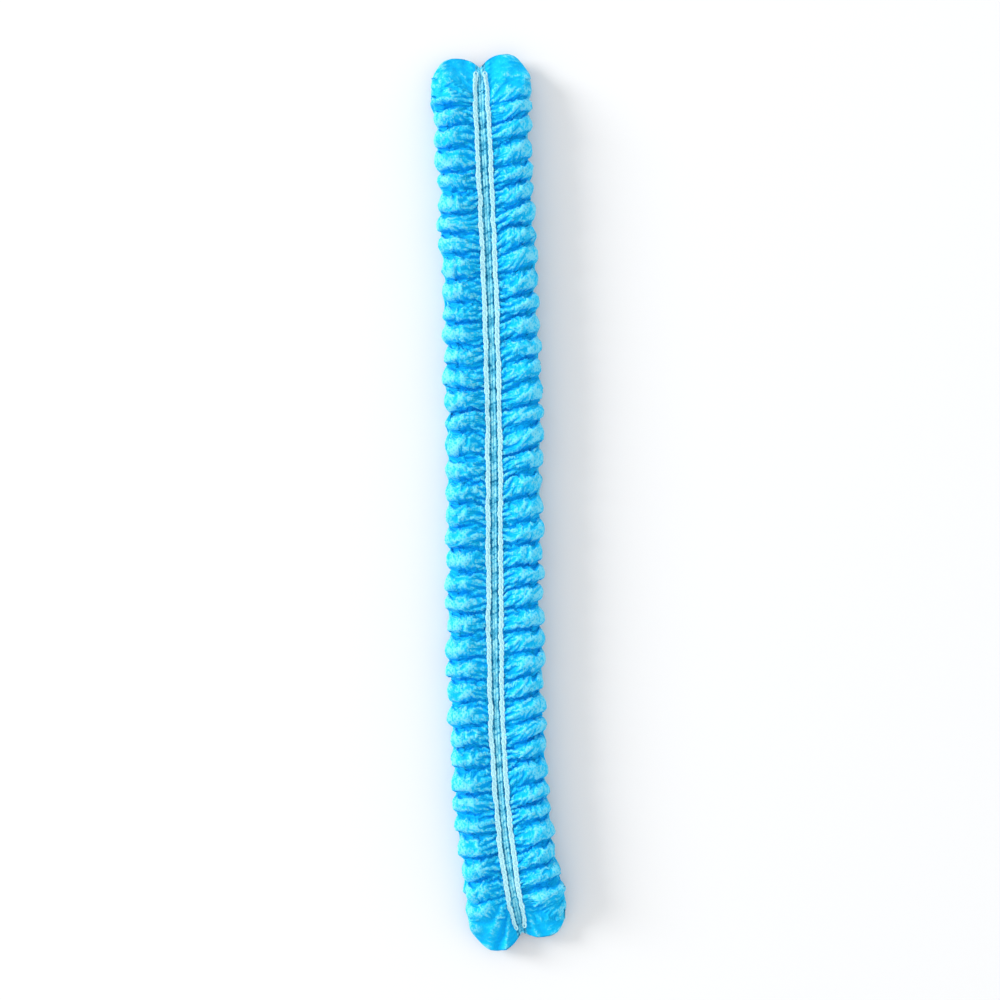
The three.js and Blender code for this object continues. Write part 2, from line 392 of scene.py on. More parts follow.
def smooth_step(low, high, value):
    t = np.clip((value - low) / (high - low), 0, 1)
    return t * t * (3 - 2 * t)


def pinched_wave(turns):
    """Rounded crests of 1 between sharp valleys of 0, one for each turn."""
    return np.abs(np.sin(np.pi * turns)) ** CREST_ROUNDNESS


def ridged(noise):
    """Sharp ridges of 1 where smooth noise passes through 0."""
    return 1 - 2 * np.abs(noise)


def blurred(values, reach, axis):
    """The mean over a number of neighbours on both sides, along one axis of a grid."""
    pads = [(0, 0)] * values.ndim
    pads[axis] = (reach + 1, reach)
    sums = np.cumsum(np.pad(values, pads, "edge"), axis=axis)
    size = 2 * reach + 1
    ahead = np.take(sums, np.arange(size, sums.shape[axis]), axis)
    behind = np.take(sums, np.arange(sums.shape[axis] - size), axis)
    return (ahead - behind) / size


CLOSING_CURVES = np.stack(
    [np.interp(CLOSING_READ, CLOSING[:, 0], column) for column in CLOSING.T], axis=-1
)
CLOSING_CURVES = blurred(blurred(CLOSING_CURVES, CLOSING_BLUR, 0), CLOSING_BLUR, 0)


def closing(word, along):
    """A column of the CLOSING table at a place along the strip."""
    column = CLOSING_COLUMNS.index(word)
    return np.interp(TIP - np.abs(along), CLOSING_READ, CLOSING_CURVES[:, column])


LIE_CURVE = np.polynomial.Polynomial.fit(LIE[:, 0], LIE[:, 1], LIE_DEGREE)
LIE_SLOPE = LIE_CURVE.deriv()


def lay(out, along, height):
    """Strip coordinates to points in the frame, both in millimetres."""
    slope = LIE_SLOPE(along)
    length = np.sqrt(1 + slope**2)
    x = LIE_CURVE(along) + out / length
    y = along - out * slope / length
    return np.stack([x, y, height], axis=-1)


def new_object(name, data):
    obj = bpy.data.objects.new(name, data)
    bpy.context.scene.collection.objects.link(obj)
    return obj


def feed(tree, socket, value):
    """Sets a node's socket, to a value or to what another node gives."""
    if isinstance(value, bpy.types.NodeSocket):
        tree.links.new(value, socket)
    else:
        socket.default_value = value


def new_node(tree, kind, sockets=None, **settings):
    made = tree.nodes.new(kind)
    for word, value in settings.items():
        setattr(made, word, value)
    for word, value in (sockets or {}).items():
        feed(tree, made.inputs[word], value)
    return made


def grid_mesh(name, points, flat, **values):
    """A sheet from a grid of points in millimetres.

    flat: the cloth's own flat coordinates in millimetres, for its UV map; values: its attributes."""
    rows, columns = points.shape[:2]
    index = np.arange(rows * columns).reshape(rows, columns)
    quads = np.stack([index[:-1, :-1], index[:-1, 1:], index[1:, 1:], index[1:, :-1]], axis=-1)
    quads = quads.reshape(-1, 4)
    mesh = bpy.data.meshes.new(name)
    mesh.from_pydata(points.reshape(-1, 3) * MM, [], quads.tolist())
    uv = mesh.uv_layers.new(name="cloth")
    uv.data.foreach_set("uv", flat.reshape(-1, 2)[quads.ravel()].ravel())
    for word, value in values.items():
        attribute = mesh.attributes.new(word, "FLOAT", "POINT")
        attribute.data.foreach_set("value", value.ravel())
    mesh.shade_smooth()
    return new_object(name, mesh)


# ----------------------------------------
# The shape of the gathered cloth

ribs_random = np.random.default_rng(11)
rib_widths = RIB_PITCH * (1 + RIB_WIDTH_UNEVEN * ribs_random.uniform(-1, 1, RIB_COUNT))
rib_widths *= GATHERED_LENGTH / rib_widths.sum()
valleys = np.concatenate([[0], np.cumsum(rib_widths)]) - GATHERED_LENGTH / 2

# Read along in ribs, and across in millimetres, as the rest
rib_line = SmoothNoise(21, often=(0.9, 1 / 5), start=(40, 9))
rib_fullness = SmoothNoise(22, often=(1.7, 1 / 2.5), start=(3, 5))
rib_lean = SmoothNoise(28, often=(1.37, 1 / 7), start=(9, 30))
cord_line = SmoothNoise(21, often=(2.0, 1), start=(0, 3), apart=50)
hem_roll = SmoothNoise(30, often=(4.3, 1), apart=7)
gather_line = SmoothNoise(26, often=(1.3, 1 / 5), apart=20)
crinkle = SmoothNoise(30, often=(6.1, 1 / CRINKLE_SIZE), start=(0, 120), apart=40)
facet = SmoothNoise(25, often=(CLOTH_PER_RIB / CRUMPLE_SIZE, 1 / CRUMPLE_SIZE), start=(0, 160), apart=40)
# Along in millimetres
crease = SmoothNoise(24, often=(1 / 1.25, 1 / 3.2), start=(0, 50), apart=60)
swell = SmoothNoise(25, often=(1 / 2.9, 1 / 2.7), apart=33)
# Across in folds, and along in ribs or millimetres
outer_fold = SmoothNoise(23, often=(1.3, 1.7), start=(7, 0), apart=31)
inner_fold = SmoothNoise(23, often=(1 / 9, 1), apart=17)
# Along in gathers, and in radians round the fan's centre
gather_reach = SmoothNoise(27, often=(1.61, 1), start=(5, 0), apart=13)
tab_fold = SmoothNoise(29, often=(FAN_FOLDS, 1 / 14), start=(7, 0), apart=9)


def nominal_along(ribs):
    """The place along the strip of a count of ribs, which runs on into the tabs."""
    counts = np.concatenate([[-TAB_RIBS], np.arange(RIB_COUNT + 1), [RIB_COUNT + TAB_RIBS]])
    places = np.concatenate([[-TIP], valleys, [TIP]])
    return np.interp(ribs, counts, places)


def lobe_outline(along, out, side):
    """How far a tab's round lobes fall short of the tip, at a place out from the slit."""
    short = 0.0
    for end, lobe_side, crown, crown_short, corner_short in LOBES:
        inwards = np.clip((crown - out) / crown, 0, 1) ** LOBE_INWARD
        outwards = np.clip((out - crown) / (TAB_HALF_WIDTH - crown), 0, 1) ** LOBE_OUTWARD
        outline = crown_short + (NOTCH - crown_short) * inwards + corner_short * outwards
        short = short + outline * ((np.sign(along) == end) & (side == lobe_side))
    return short


def rib_wave(ribs):
    """0 in the valleys, at whole counts of ribs, and 1 on the crests between them."""
    return (1 - np.cos(2 * np.pi * ribs)) / 2


def gathers(ribs, out, side):
    """The height of the gathers beside an elastic, of which one goes on further out than the next."""
    turns = GATHERS_PER_RIB * ribs + GATHER_LINE_UNEVEN * gather_line(ribs, out, side)
    reach = GATHER_REACH + GATHER_REACH_UNEVEN * gather_reach(np.floor(turns), 0, side)
    fades = smooth_step(reach + GATHER_FADE[0], reach + GATHER_FADE[1], out)
    fading = smooth_step(*GATHERS_GROW, out) * (1 - fades)
    return GATHER_HEIGHT * fading * (pinched_wave(turns) - GATHER_LEVEL)


def puckers(along, out, side):
    """The height of the puckers, one at each stitch."""
    at_stitch = pinched_wave(along / STITCH_LENGTH + STITCH_STAGGER * side)
    beside = sum(share * np.exp(-(((out - place) / width) ** 2)) for place, width, share in PUCKER_ROWS)
    return PUCKER_HEIGHT * beside * (at_stitch - PUCKER_LEVEL)


def fan(along, out, side, near_tip):
    """The height of the folds that fan out through the tabs from where the elastics end."""
    inward = FAN_CENTRE - (TIP - np.abs(along))
    direction = np.arctan2(out, inward)
    folds = ridged(tab_fold(direction, out + FAN_APART * np.sign(along), side))
    folds = folds * smooth_step(*FAN_CLEAR, np.hypot(out, inward)) * smooth_step(*FAN_GROWS, out)
    return FAN_HEIGHT * smooth_step(*FAN_NEAR, near_tip) * folds


def cloth_point(ribs, out, layer, side, lift=0.0):
    """The place of a point of the cloth: along the strip, and height.

    ribs: how many ribs along the strip; out: from the slit, in millimetres; layer: 0 is the face,
    LAYERS - 1 the back, and a fold lies between two; side: 1 right, -1 left."""
    signed = side * out
    full = closing("fullness", nominal_along(ribs))
    on_face = np.clip(1 - layer, 0, 1)
    on_back = np.clip(layer - (LAYERS - 3), 0, 1)
    # The seam holds down the face, and the sheets under it less and less
    held = (1 - smooth_step(*RIBS_GROW, out)) * np.interp(layer, *HELD_SHEETS.T)

    # Crests are round and valleys sharp on the face, and the other way round on the back
    pinch = VALLEY_PINCH * (1 - 2 * layer / (LAYERS - 1)) * smooth_step(*PINCH_GROWS, out) * full
    along = nominal_along(ribs - pinch * np.sin(2 * np.pi * ribs) / (2 * np.pi))
    wave = rib_wave(ribs)
    near_tip = np.clip(1 - (TIP - np.abs(along)) / TAB_REACH, 0, 1) ** TAB_BEND

    # The ribs' lines stray, slant and lean, and round off into the tabs' lobes
    stray = RIB_LINE_UNEVEN * rib_line(ribs, signed + SHEET_SHIFT * layer)
    slant = RIGHT_SLANT * np.maximum(0, signed) ** SLANT_CURVE - LEFT_SLANT * np.maximum(0, -signed)
    lean = RIB_LEAN * rib_lean(np.floor(ribs), signed) * wave
    under = UNDER_TAB * smooth_step(*UNDER_FACE, layer)
    lobe = np.sign(along) * (lobe_outline(along, out, side) + under)
    shift = full * (stray + slant + lean) - near_tip * lobe

    # The sheets' places in the stack, and the ribs' height
    tall = RIB_FULLNESS + RIB_FULLNESS_UNEVEN * rib_fullness(np.floor(ribs + 0.5), signed)
    amplitude = RIB_HEIGHT * full * tall * (1 - HELD_FLAT * held)
    closeness = closing("closeness", along)
    stack = (LAYERS - 2) * LAYER_PITCH
    middle = (TOP - TOP_CLEAR) / 2 - closing("sag", along)
    depth = np.where(layer < 1, (1 - layer) * FACE_PUFF, -(layer - 1) * LAYER_PITCH)
    centred = depth - (FACE_PUFF - stack) / 2
    height = middle + centred * closeness + amplitude * (wave - 0.5)
    height = height - RIM_DROP * closeness * held
    height = height - END_DROP * smooth_step(*END_DROP_GROWS, out) * (1 - layer / (LAYERS - 1)) * full
    height = height + on_face * full * gathers(ribs, out, side)
    height = height + on_face * puckers(along, out, side)

    # Crumples on the face and the back, creases on the face, swells and crinkles everywhere
    share = TAB_CRUMPLE + (1 - TAB_CRUMPLE) * full
    crumpled = on_face * smooth_step(*CRUMPLES_GROW, out) + on_back * BACK_CRUMPLE
    height = height + share * (CRUMPLE_HEIGHT * ridged(facet(ribs, out, side)) * crumpled)
    creases = CREASE_HEIGHT * ridged(crease(along + CREASE_SLANT * out, out, side))
    creases = creases * smooth_step(*CREASES_GROW, out) * on_face * full
    swells = SWELL_HEIGHT * swell(along, out + SWELL_SHIFT * np.floor((layer + 1) / 2), side)
    crinkles = CRINKLE_HEIGHT * crinkle(ribs, out + CRINKLE_SIZE * layer, side)
    soft = closeness * (swells + crinkles) * smooth_step(*SWELLS_GROW, out)
    height = height + share * (creases + soft)

    return along + shift, height + fan(along, out, side, near_tip) + lift


def pleat_columns():
    """The way across one side of the cloth, from its rim to the middle of the back, in columns.

    layer; share: how far across, 0 at the inner folds to 1 at the outer; bulge: sine of the angle
    round a fold."""
    columns = []
    for layer in range(LAYERS):
        sheet_columns = {0: FACE_COLUMNS, LAYERS - 1: BACK_COLUMNS}
        across = np.linspace(0, 1, sheet_columns.get(layer, PLEAT_COLUMNS))
        if layer % 2:
            across = across[::-1]
        columns += [(layer, share, 0.0) for share in across]
        if layer == LAYERS - 1:
            break
        outer = layer % 2 == 0
        bends = OUTER_FOLD_COLUMNS if outer else INNER_FOLD_COLUMNS
        if layer == 0:
            bends = FACE_FOLD_COLUMNS
        for turn in np.arange(1, bends + 1) / (bends + 1) * math.pi:
            between = layer + (1 - math.cos(turn)) / 2
            columns.append((between, float(outer), math.sin(turn) * (1 if outer else -1)))
    return np.array(columns)


def stations(steps):
    """Counts of ribs along the strip, from tip to tip, in a column."""
    count = round((RIB_COUNT + 2 * TAB_RIBS) * steps)
    return np.linspace(-TAB_RIBS, RIB_COUNT + TAB_RIBS, count + 1)[:, None]


def hem_grid(side, steps):
    """A rim's narrow rolled hem, up to where the face begins."""
    outs = np.concatenate([HEM_MIDDLE + HEM_HALF_WIDTH * np.cos(HEM_TURNS), GROOVE, [FACE_START]])
    lifts = np.concatenate([HEM_HALF_HEIGHT * np.sin(HEM_TURNS), np.zeros(len(GROOVE) + 1)])
    ribs, outs = np.broadcast_arrays(stations(steps), outs)
    roll = 1 + HEM_UNEVEN * hem_roll(ribs, 0, side) * (outs < GROOVE[0])
    along, height = cloth_point(ribs, outs, np.zeros_like(outs), side, lifts * roll)
    return lay(side * outs, along, height)


def cloth_grid(side, steps):
    """One side of the cloth, stations along it by columns across it, and the columns' layers."""
    columns = pleat_columns()
    layer, share, bulge = columns.T[:, None, :]
    ribs = stations(steps) + 0 * layer

    # The outer folds: how far out they reach
    fold = np.floor(layer / 2)
    rough = nominal_along(ribs)
    full = closing("fullness", rough)
    nose = closing("half_width", rough) - SCALLOP * full * (1 - rib_wave(ribs))
    corner = np.clip(1 - (TIP - np.abs(rough)) / CORNER_LENGTH, 0, 1)
    nose = nose - CORNER_INSET * (1 - np.sqrt(1 - corner**2))
    nose = nose - UNDER_TAB * np.sqrt(corner) * smooth_step(*UNDER_FACE, layer)
    uneven = np.where(layer < 1, FACE_FOLD_UNEVEN, PLEAT_FOLD_UNEVEN) * full
    nose = nose + uneven * outer_fold(ribs, fold, side) - FOLD_STEP_IN * (fold % 2)
    bend_depth = np.where(layer < 1, FACE_BEND, PLEAT_BEND)
    outer = nose - bend_depth
    inner = INNER_FOLD + inner_fold(rough, fold, side)
    inner = np.where(layer > LAYERS - 1.5, 0.0, inner)  # the back goes to the middle
    out = inner + share * (outer - inner) + bulge * bend_depth
    face_out = FACE_START + share**FACE_CROWDING * (outer - FACE_START)
    out = np.where((layer < 1) & (bulge == 0), face_out, out)

    along, height = cloth_point(ribs, out, layer, side)
    height = np.maximum(height, CLOTH_THICKNESS / 2)
    return lay(side * out, along, height), columns[:, 0]


# ----------------------------------------
# Buckling: the cloth is inextensible, so what the elastic draws in stands up as gathers


def pairs_of(rows, columns, down, right):
    """Slices that pair each grid point with one so far down and right; no pairs of a set share one."""
    if not down:
        return [
            ((slice(None), slice(start, columns - right, 2 * right)),
             (slice(None), slice(start + right, columns, 2 * right)))
            for start in range(2 * right)
        ]
    here = slice(max(0, -right), columns - max(0, right))
    there = slice(max(0, right), columns - max(0, -right))
    return [
        ((slice(start, rows - down, 2 * down), here), (slice(start + down, rows, 2 * down), there))
        for start in range(2 * down)
    ]


class Link:
    """Pairs of grid points that keep a distance apart."""

    def __init__(self, pair, lengths, loose, stiffness, only_push=False):
        self.first, self.second = pair
        first, second = loose[self.first], loose[self.second]
        total = np.maximum(first + second, TINY)
        self.length = lengths.astype(np.float32)
        self.shares = (first / total * stiffness, second / total * stiffness)
        self.only_push = only_push

    def pull(self, places):
        first, second = places[self.first], places[self.second]
        gap = second - first
        distance = np.sqrt(np.einsum("ijk,ijk->ij", gap, gap)) + np.float32(TINY)
        wrong = 1 - self.length / distance
        if self.only_push:
            wrong = np.minimum(wrong, 0)
        first += gap * (wrong * self.shares[0])[..., None]
        second -= gap * (wrong * self.shares[1])[..., None]


def buckled(points, loose, most, along_length, across_length):
    """Moves a sheet's points, in millimetres, until it measures what it was cut to.

    loose: 0 where a point is held, 1 where it is free; most: how far each may move; along_length,
    across_length: what each step of the grid measures on the flat sheet."""
    rows, columns = points.shape[:2]
    start = points.astype(np.float32)
    places = start.copy()
    loose = loose.astype(np.float32)
    most = most.astype(np.float32)
    can_move = (loose > 0).astype(np.float32)
    links = []

    def tie(down, right, lengths, stiffness, only_push=False):
        for pair in pairs_of(rows, columns, down, right):
            links.append(Link(pair, lengths[pair[0]], loose, np.float32(stiffness), only_push))

    slope_length = np.hypot(along_length, across_length)
    tie(1, 0, along_length, STIFF_ALONG)
    tie(0, 1, across_length, STIFF_ACROSS)
    tie(1, 1, slope_length, STIFF_SLANTING)
    tie(1, -1, slope_length, STIFF_SLANTING)
    tie(BENDING_REACH, 0, LEAST_ALONG * along_length, STIFF_BENDING, only_push=True)
    tie(0, BENDING_REACH, LEAST_ACROSS * across_length, STIFF_BENDING, only_push=True)

    for step in range(BUCKLE_STEPS):
        for link in links:
            link.pull(places)
        # Neighbours along the strip never pass each other
        missing = np.minimum(np.diff(places[..., 1], axis=0) - np.float32(LEAST_STEP), 0)
        missing = missing * np.float32(STEP_BACK)
        places[:-1, :, 1] += missing * can_move[:-1]
        places[1:, :, 1] -= missing * can_move[1:]
        if step % LIMIT_EVERY == LIMIT_EVERY - 1:
            offset = places - start
            distance = np.sqrt(np.einsum("ijk,ijk->ij", offset, offset))[..., None]
            places = start + offset * np.minimum(1, most[..., None] / np.maximum(distance, TINY))
    return places.astype(float)


def buckle_face(points, layer):
    """Buckles the face, from its seam to its outer fold, in place."""
    last = int(np.searchsorted(layer, 1.0)) + PAST_FOLD
    face = points[:, :last]
    column = np.arange(last)
    gathered = smooth_step(*BUCKLED_FULLNESS, closing("fullness", face[..., 1]))

    along = np.linalg.norm(np.diff(face, axis=0), axis=2)
    along = np.concatenate([along, along[-1:]])
    outer = blurred(along[:, LENGTH_COLUMNS].mean(axis=1), STEPS_FACE // 2, 0)[:, None]
    share = LENGTH_AT_SEAM + (1 - LENGTH_AT_SEAM) * smooth_step(0, FREE_COLUMNS, column)
    along = along + gathered * (outer * SPARE_ALONG * share - along)
    across = np.linalg.norm(np.diff(face, axis=1), axis=2)
    across = np.concatenate([across, across[:, -1:]], axis=1)
    across = across + gathered * (np.median(across, axis=0) * SPARE_ACROSS - across)

    loose = np.where((column < 1) | (column > last - PAST_FOLD), 0.0, 1.0)
    loose = loose * smooth_step(FREE_START, FREE_COLUMNS, np.minimum(column, last - column))
    most = SEAM_BUCKLE + (MOST_BUCKLE - SEAM_BUCKLE) * smooth_step(0, SEAM_COLUMNS, column)
    most = np.broadcast_to(most, face.shape[:2])
    points[:, :last] = buckled(face, loose * gathered, most, along, across)


# ----------------------------------------
# The cloth's pieces


def flat_coordinates(points):
    """Each point's place on the cloth when it is spread flat, in millimetres."""
    along = np.median(np.linalg.norm(np.diff(points, axis=0), axis=2), axis=1)
    across = np.median(np.linalg.norm(np.diff(points, axis=1), axis=2), axis=0)
    u = np.concatenate([[0], np.cumsum(across)])
    v = np.concatenate([[0], np.cumsum(along)])
    return np.stack(np.broadcast_arrays(u[None, :], v[:, None]), axis=-1)


def crest_of(points, side, rows, columns, size):
    """How far each point stands out from the cloth round it: -1 in valleys, 1 on crests.

    rows, columns: how far round it; size: the height in millimetres that counts as 1."""
    normal = np.cross(np.gradient(points, axis=1), np.gradient(points, axis=0)) * side
    normal /= np.maximum(np.linalg.norm(normal, axis=2, keepdims=True), TINY)
    around = blurred(blurred(points, rows, 0), columns, 1)
    return np.clip(np.einsum("ijk,ijk->ij", points - around, normal) / size, -1, 1)


def thicken(obj):
    solidify = obj.modifiers.new("thickness", "SOLIDIFY")
    solidify.thickness = CLOTH_THICKNESS * MM
    solidify.offset = 0
    solidify.use_even_offset = False


def cloth_piece(name, points, flat, material, **values):
    piece = grid_mesh(name, points, flat, **values)
    thicken(piece)
    piece.data.materials.append(material)
    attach(piece, "root")
    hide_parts("cap_cloth")
    return piece


def sheet_piece(name, points, flat, material, with_pieces=(), **values):
    """A piece of the cloth, with its flat coordinates as its UV map."""
    piece = cloth_piece(name, points, flat, material, **values)


def cloth_pieces(material, hem_material):
    backs = []
    for side, word in ((-1, "left"), (1, "right")):
        points, layer = cloth_grid(side, STEPS_FACE)
        buckle_face(points, layer)
        # How far each point stands out, kept on the piece for the painted shade in its valleys and
        # painted highlights on its crests and ridges
        grids = {
            "points": points,
            "flat": flat_coordinates(points),
            "crest": crest_of(points, side, *CREST_SHADING),
            "ridge": crest_of(points, side, *RIDGE_SHADING),
        }
        face_end = int(np.searchsorted(layer, 1.0)) + ROUND_FOLD
        back_start = int(np.searchsorted(layer, LAYERS - 2, "right"))

        def part(steps, first, last):
            return {key: grid[:: STEPS_FACE // steps, first:last] for key, grid in grids.items()}

        hem_points = hem_grid(side, STEPS_HEM)
        # The hem gets the same painted shade and highlights from its own crests and ridges
        hem = cloth_piece(
            f"hem_{word}", hem_points, flat_coordinates(hem_points), hem_material,
            crest=crest_of(hem_points, side, *HEM_CREST_SHADING),
            ridge=crest_of(hem_points, side, *HEM_RIDGE_SHADING),
        )
        face = part(STEPS_FACE, 0, face_end + 1)
        sheet_piece(f"cloth_face_{word}", material=material, with_pieces=[hem], **face)
        pleats = part(STEPS_PLEATS, face_end, back_start + 2)
        sheet_piece(f"cloth_pleats_{word}", material=material, **pleats)
        backs.append(part(STEPS_BACK, back_start + 1, len(layer)))

    # The back is one sheet from side to side
    left, right = backs
    middle = left["flat"][:, -1:, 0] + right["flat"][:, -1:, 0]
    mirrored = right["flat"][:, ::-1].copy()
    mirrored[..., 0] = middle - mirrored[..., 0]
    right["flat"] = mirrored[:, ::-1]
    back = {key: np.concatenate([left[key], right[key][:, -2::-1]], axis=1) for key in left}
    sheet_piece("cloth_back", material=material, **back)


# ----------------------------------------
# The elastics and their stitches


def cord_path(side, height_over_rim):
    """Points along an elastic's middle, in metres, at a height over the rim that it lies on."""
    ribs = np.linspace(-TAB_RIBS, RIB_COUNT + TAB_RIBS, CORD_POINTS)
    out = CORD_OFFSET + CORD_STRAY * cord_line(ribs, 0, side)
    along, height = cloth_point(ribs, out, np.zeros_like(ribs), side)
    height = blurred(height, CORD_SMOOTHING, 0)
    out = out * (CORD_CLOSED + (1 - CORD_CLOSED) * smooth_step(0, CORD_CLOSING, TIP - np.abs(along)))
    notch = lobe_outline(along, 0 * along, side)
    inside = np.abs(along) < TIP - notch - CORD_SHORT
    return lay(side * out, along, height + height_over_rim)[inside] * MM


def tube(name, path, radius, sides):
    """A closed tube along a path, with a UV map: turns round it, and millimetres along it."""
    tangent = np.gradient(path, axis=0)
    tangent /= np.linalg.norm(tangent, axis=1, keepdims=True)
    across = np.cross(tangent, [0, 0, 1])
    across /= np.linalg.norm(across, axis=1, keepdims=True)
    up = np.cross(across, tangent)
    turn = np.linspace(0, 2 * np.pi, sides, endpoint=False)
    ring = across[:, None] * np.cos(turn)[:, None] + up[:, None] * np.sin(turn)[:, None]
    points = path[:, None] + ring * radius
    rows = len(path)
    index = np.arange(rows * sides).reshape(rows, sides)
    after = np.roll(index, -1, axis=1)
    quads = np.stack([index[:-1], after[:-1], after[1:], index[1:]], axis=-1).reshape(-1, 4).tolist()
    mesh = bpy.data.meshes.new(name)
    caps = [index[0][::-1].tolist(), index[-1].tolist()]
    mesh.from_pydata(points.reshape(-1, 3), [], quads + caps)
    mesh.shade_smooth()
    length = np.concatenate([[0], np.cumsum(np.linalg.norm(np.diff(path, axis=0), axis=1))]) / MM
    round_it = np.arange(sides + 1) / sides
    u = np.stack([round_it[:-1], round_it[1:], round_it[1:], round_it[:-1]], axis=-1)
    v = np.stack([length[:-1], length[:-1], length[1:], length[1:]], axis=-1)
    corners = np.stack(np.broadcast_arrays(u[None], v[:, None]), axis=-1).reshape(-1, 2)
    corners = np.concatenate([corners, np.zeros((2 * sides, 2))])
    mesh.uv_layers.new(name="wrap").data.foreach_set("uv", corners.ravel())
    return new_object(name, mesh)


def stitch_tree(material):
    """Geometry nodes: a chain of thread loops along a path of edges."""
    tree = bpy.data.node_groups.new("chain_stitches", "GeometryNodeTree")
    for name, way, kind, value in (
        ("Geometry", "INPUT", "Geometry", None),
        ("Stitch Length", "INPUT", "Float", STITCH_LENGTH * MM),
        ("Loop Length", "INPUT", "Float", LOOP_LENGTH * MM),
        ("Loop Width", "INPUT", "Float", LOOP_WIDTH * MM),
        ("Thread Radius", "INPUT", "Float", THREAD_RADIUS * MM),
        ("Seed", "INPUT", "Int", LOOP_SEED),
        ("Geometry", "OUTPUT", "Geometry", None),
    ):
        socket = tree.interface.new_socket(name, in_out=way, socket_type="NodeSocket" + kind)
        if value is not None:
            socket.default_value = value

    def node(kind, output, sockets=None, **settings):
        return new_node(tree, kind, sockets, **settings).outputs[output]

    def random(least_and_most):
        sockets = dict(zip(("Min", "Max"), least_and_most))
        sockets["Seed"] = given["Seed"]
        return node("FunctionNodeRandomValue", "Value", sockets, data_type="FLOAT_VECTOR")

    given = new_node(tree, "NodeGroupInput").outputs

    # The row of places
    row = node("GeometryNodeMeshToCurve", "Curve", {"Mesh": given["Geometry"]})
    sockets = {"Curve": row, "Length": given["Stitch Length"]}
    places = node("GeometryNodeResampleCurve", "Curve", sockets, mode="LENGTH")

    # One loop of thread: a circle 1 across, stretched to its size
    sockets = {"Resolution": LOOP_POINTS, "Radius": 0.5}
    circle = node("GeometryNodeCurvePrimitiveCircle", "Curve", sockets)
    sockets = {"X": given["Loop Length"], "Y": given["Loop Width"], "Z": 1}
    scale = node("ShaderNodeCombineXYZ", "Vector", sockets)
    shaped = node("GeometryNodeTransform", "Geometry", {"Geometry": circle, "Scale": scale})
    share = node("GeometryNodeSplineParameter", "Factor")
    sockets = {"Geometry": shaped, "Name": "along", "Value": share}
    settings = {"data_type": "FLOAT", "domain": "POINT"}
    marked = node("GeometryNodeStoreNamedAttribute", "Geometry", sockets, **settings)
    sockets = {"Resolution": THREAD_SIDES, "Radius": given["Thread Radius"]}
    ring = node("GeometryNodeCurvePrimitiveCircle", "Curve", sockets)
    swept = node("GeometryNodeCurveToMesh", "Mesh", {"Curve": marked, "Profile Curve": ring})

    # Each loop follows the row, climbs over the one before it, and differs a little
    tangent = node("GeometryNodeInputTangent", "Tangent")
    aligned = node("FunctionNodeAlignRotationToVector", "Rotation", {"Vector": tangent}, axis="X")
    sockets = {"Rotation": aligned, "Rotate By": random(LOOP_TILT)}
    turned = node("FunctionNodeRotateRotation", "Rotation", sockets, rotation_space="LOCAL")
    sockets = {"Points": places, "Instance": swept, "Rotation": turned, "Scale": random(LOOP_SIZE)}
    placed = node("GeometryNodeInstanceOnPoints", "Instances", sockets)

    real = node("GeometryNodeRealizeInstances", "Geometry", {"Geometry": placed})
    smooth = node("GeometryNodeSetShadeSmooth", "Geometry", {"Geometry": real})
    sockets = {"Geometry": smooth, "Material": material}
    sewn = node("GeometryNodeSetMaterial", "Geometry", sockets)
    new_node(tree, "NodeGroupOutput", {"Geometry": sewn})
    return tree


def grown(name, path, tree):
    """The plain mesh that a tree makes along a path."""
    base = bpy.data.meshes.new(name + "_path")
    base.from_pydata(path, [(i, i + 1) for i in range(len(path) - 1)], [])
    source = new_object(name + "_path", base)
    source.modifiers.new("nodes", "NODES").node_group = tree
    depsgraph = bpy.context.evaluated_depsgraph_get()
    mesh = bpy.data.meshes.new_from_object(source.evaluated_get(depsgraph))
    mesh.name = name
    bpy.data.objects.remove(source)
    return new_object(name, mesh)


def elastics(cord_material, thread_material):
    tree = stitch_tree(thread_material)
    for side, word in ((-1, "left"), (1, "right")):
        path = cord_path(side, CORD_RADIUS + CORD_LIFT)
        cord = tube(f"elastic_{word}", path, CORD_RADIUS * MM, CORD_SIDES)
        cord.data.materials.append(cord_material)
        stitches = grown(f"stitches_{word}", cord_path(side, CORD_RADIUS + STITCH_LIFT), tree)
        for piece in (cord, stitches):
            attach(piece, "root")
            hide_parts(f"elastic_cord_{word}")


# ----------------------------------------
# Materials


